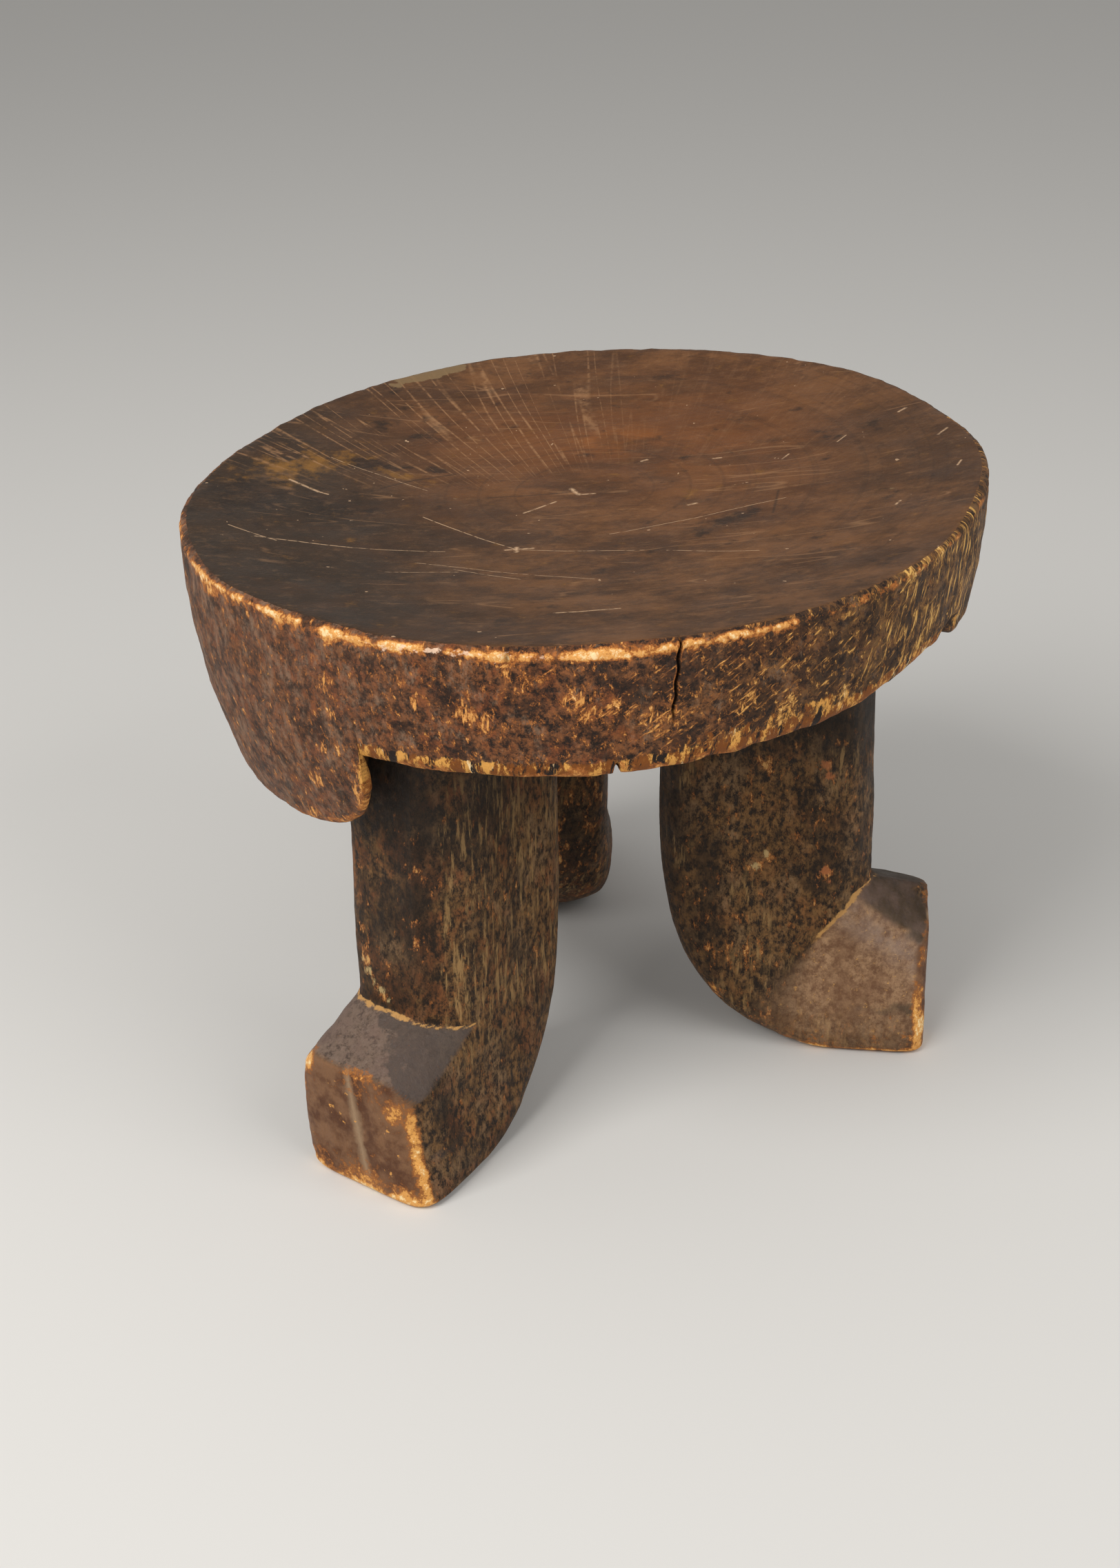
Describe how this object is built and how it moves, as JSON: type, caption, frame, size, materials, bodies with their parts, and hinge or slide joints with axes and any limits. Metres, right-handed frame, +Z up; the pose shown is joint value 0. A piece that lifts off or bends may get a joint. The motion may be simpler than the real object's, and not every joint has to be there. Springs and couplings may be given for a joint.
{
  "type": "carved stool",
  "caption": "Low African stool carved from one log: round dished seat with a deep rim and a hanging tongue, on blade-shaped legs with turned-out feet.",
  "frame": {"origin": "on the floor, below the middle of the seat's rim, which is also the middle of the stool's plan box", "axes": "+Z up, +X to the right and +Y away from the side with the hanging tongue and the front leg, which was pictured"},
  "size_m": [0.3029, 0.3029, 0.2498],
  "materials": {
    "seat_wood": "dark brown, hand-polished by use, golden where the edges are worn",
    "leg_wood": "dark greyish brown, matte to satin, tool marks, worn tan edges"
  },
  "bodies": {
    "root": {"seat": "seat_wood", "tongue": "seat_wood", "leg_front": "leg_wood", "foot_front": "leg_wood", "leg_right": "leg_wood", "foot_right": "leg_wood", "leg_back": "leg_wood", "foot_back": "leg_wood"}
  },
  "joints": []
}
